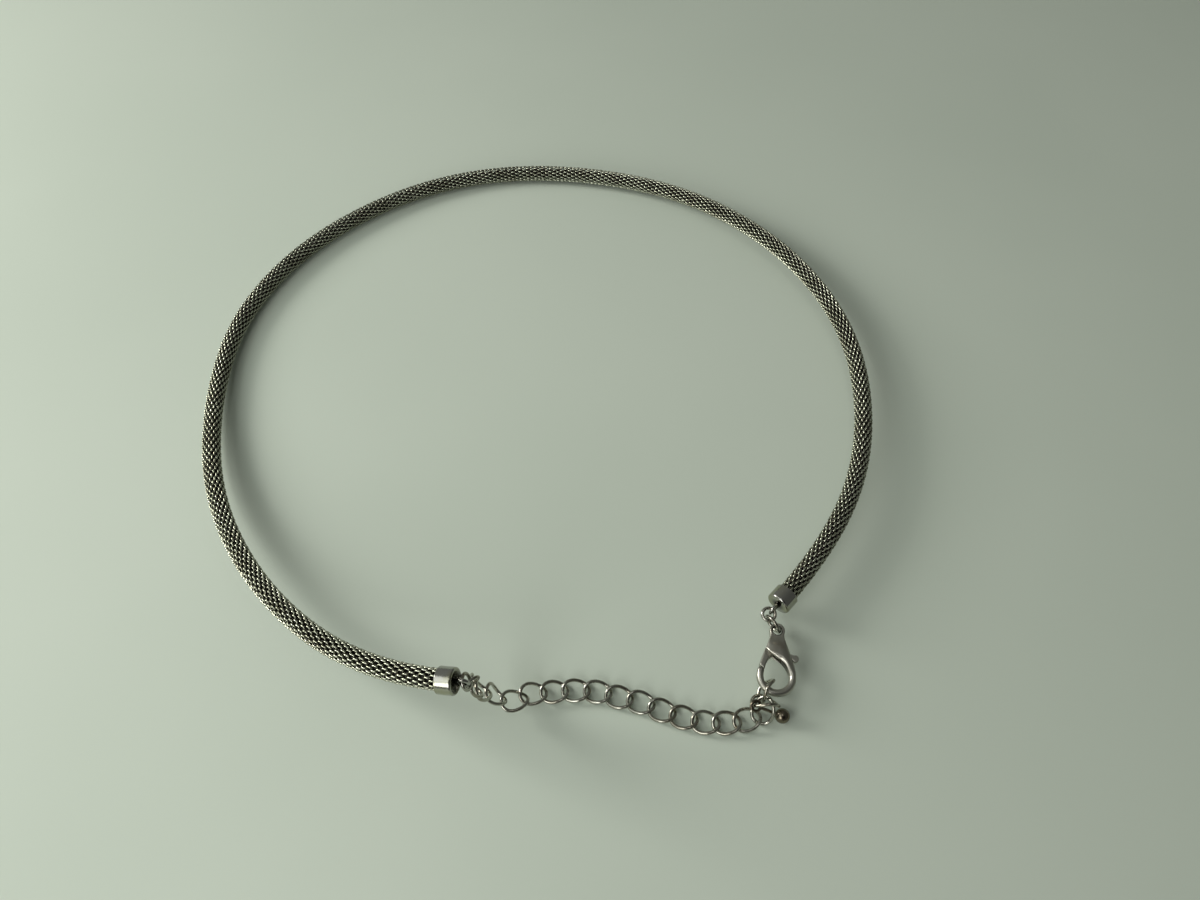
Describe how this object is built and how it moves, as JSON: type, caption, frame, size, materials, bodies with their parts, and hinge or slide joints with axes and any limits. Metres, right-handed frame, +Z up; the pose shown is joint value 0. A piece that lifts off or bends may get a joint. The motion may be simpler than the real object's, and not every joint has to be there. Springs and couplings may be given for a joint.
{
  "type": "necklace",
  "caption": "Round woven wire choker lying in a loop, closed by a curb extender chain and a lobster clasp.",
  "frame": {"origin": "centre of the loop's bounding box, on the surface it lies on", "axes": "+Z up; the clasp and chain are at -Y, the back of the neck band at +Y"},
  "size_m": [0.1394, 0.1424, 0.0186],
  "materials": {
    "mesh": "bright woven wire",
    "cap": "polished plating",
    "ring": "polished plating",
    "chain": "polished plating",
    "drop": "polished plating",
    "clasp": "polished plating"
  },
  "bodies": {
    "necklace": {"mesh_tube": "mesh", "end_cap_left": "cap", "end_cap_right": "cap", "jump_ring_left_a": "ring", "jump_ring_left_b": "ring", "jump_ring_right_a": "ring", "jump_ring_right_b": "ring", "chain_link_01": "chain", "chain_link_02": "chain", "chain_link_03": "chain", "chain_link_04": "chain", "chain_link_05": "chain", "chain_link_06": "chain", "chain_link_07": "chain", "chain_link_08": "chain", "chain_link_09": "chain", "chain_link_10": "chain", "chain_link_11": "chain", "chain_link_12": "chain", "chain_link_13": "chain", "chain_link_14": "chain", "chain_link_15": "chain", "chain_link_16": "chain", "chain_link_17": "chain", "chain_link_18": "chain", "end_drop": "drop", "clasp_body": "clasp", "clasp_pin": "clasp"},
    "lever": {"clasp_lever": "clasp"}
  },
  "joints": [
    {"name": "clasp_lever_hinge", "type": "hinge", "parent": "necklace", "child": "lever", "pos_m": [0.04374, -0.05702, 0.00324], "axis": [-0.0034, -0.0298, 0.9995], "range_deg": [0, 22], "stiffness_Nm_per_rad": 0.01, "springref_deg": -17.19}
  ]
}
